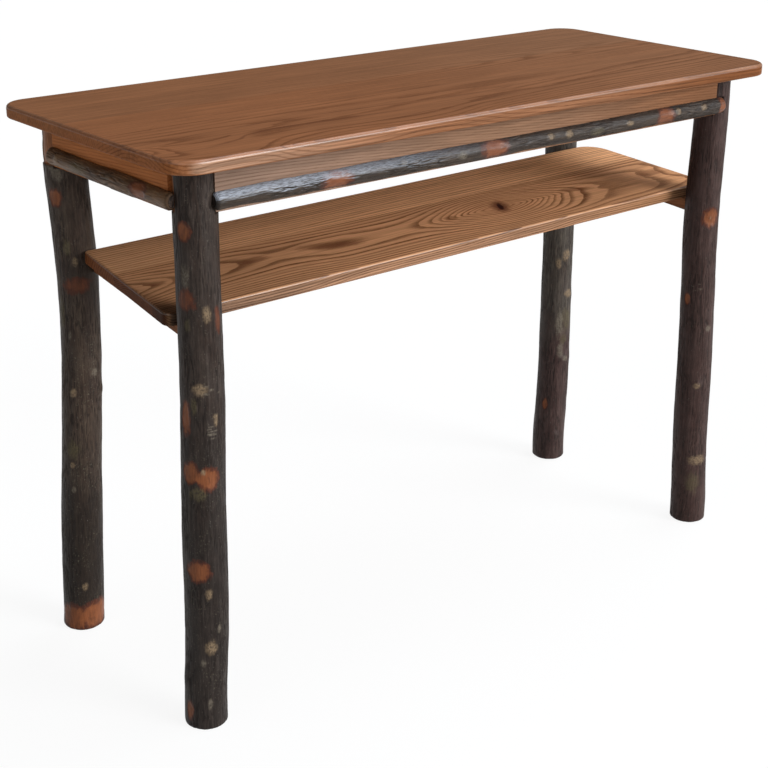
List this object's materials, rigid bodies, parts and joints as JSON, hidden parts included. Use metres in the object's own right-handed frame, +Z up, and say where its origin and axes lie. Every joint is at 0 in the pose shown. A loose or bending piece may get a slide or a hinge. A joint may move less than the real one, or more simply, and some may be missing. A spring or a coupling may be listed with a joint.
{
  "type": "console table",
  "caption": "Narrow rustic table with a planked oak top on bark-covered log legs, half-round bark poles along its aprons and a slightly askew lower shelf.",
  "frame": {"origin": "on the floor, under the middle of the top", "axes": "+X along the length to the right of someone in front, +Y from front to back, +Z up"},
  "size_m": [1.098, 0.46, 0.8],
  "materials": {
    "top_oak": "satin varnish",
    "shelf_oak": "satin varnish",
    "apron_oak": "satin varnish",
    "plain_oak": "sawn",
    "bark": "bark under varnish",
    "screw_steel": "zinc plated"
  },
  "bodies": {
    "root": {"top_board_1": "top_oak", "top_board_2": "top_oak", "top_board_3": "top_oak", "top_board_4": "top_oak", "top_board_5": "top_oak", "shelf_board_front": "shelf_oak", "shelf_board_back": "shelf_oak", "apron_front": "apron_oak", "pole_front": "bark", "cleat_front": "plain_oak", "apron_back": "apron_oak", "pole_back": "bark", "cleat_back": "plain_oak", "apron_left": "apron_oak", "pole_left": "bark", "cleat_left": "plain_oak", "apron_right": "apron_oak", "pole_right": "bark", "cleat_right": "plain_oak", "leg_front_left": "bark", "leg_front_right": "bark", "leg_back_left": "bark", "leg_back_right": "bark", "shelf_rail_left": "plain_oak", "shelf_rail_right": "plain_oak", "apron_screws": "screw_steel", "pole_screws": "screw_steel", "cleat_screws": "screw_steel", "top_screws": "screw_steel", "shelf_screws": "screw_steel"}
  },
  "joints": []
}
